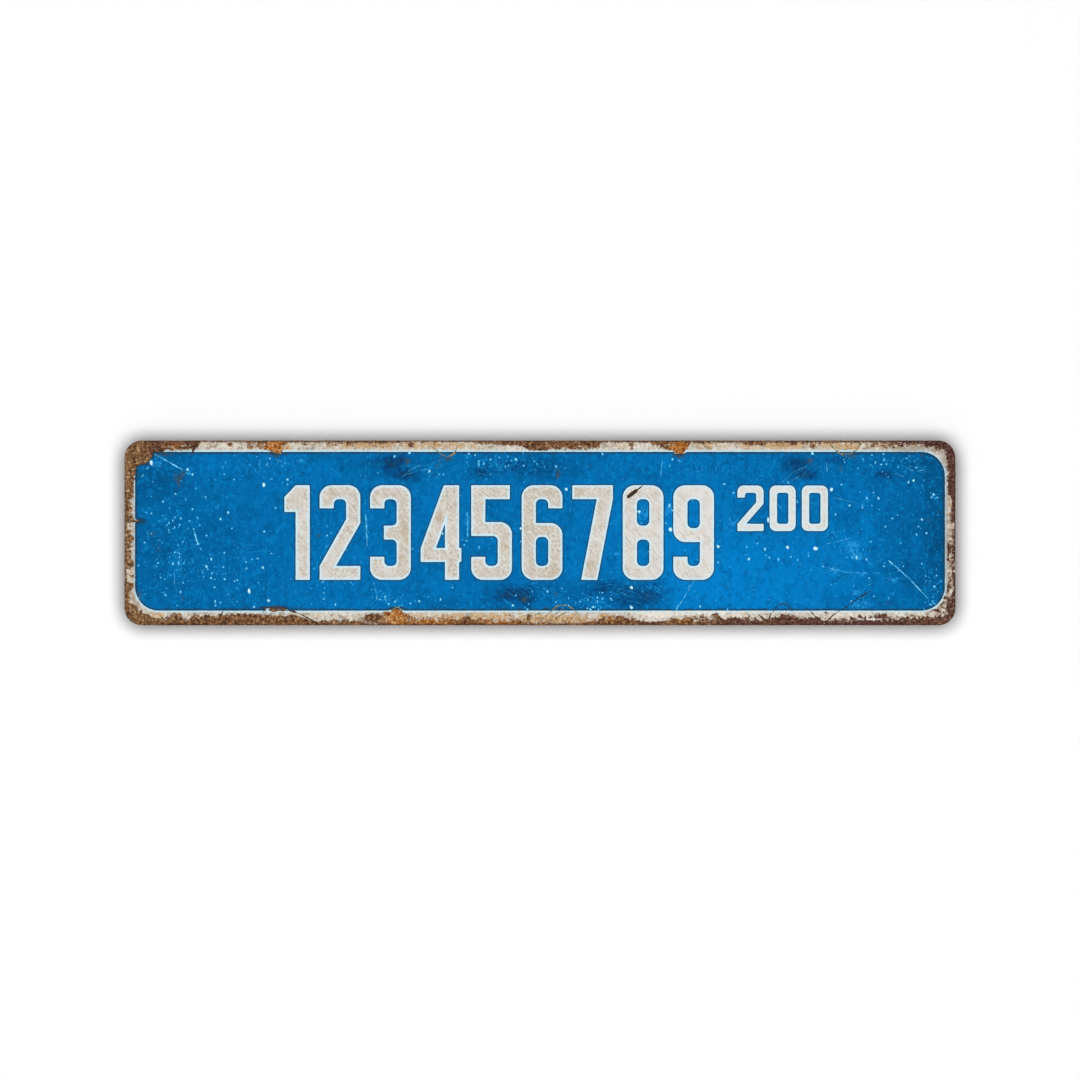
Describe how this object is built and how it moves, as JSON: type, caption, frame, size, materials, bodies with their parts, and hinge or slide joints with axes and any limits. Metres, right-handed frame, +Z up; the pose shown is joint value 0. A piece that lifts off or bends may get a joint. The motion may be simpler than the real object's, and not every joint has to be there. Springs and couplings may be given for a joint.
{
  "type": "street name sign",
  "caption": "Flat rectangular street name sign: a round-cornered steel sheet enamelled cream on its front, with a raised blue field inside a narrow border, held by its back face.",
  "frame": {"origin": "centre of the flat back face", "axes": "+X along the length, to the reader's right; +Z up; +Y out of the back, so the front faces -Y"},
  "size_m": [0.4572, 0.0015, 0.1016],
  "materials": {
    "enamelled_steel": "weathered vitreous enamel, blue field on a cream ground, rusted at the edges"
  },
  "bodies": {
    "root": {"sign_panel": "enamelled_steel"}
  },
  "joints": []
}
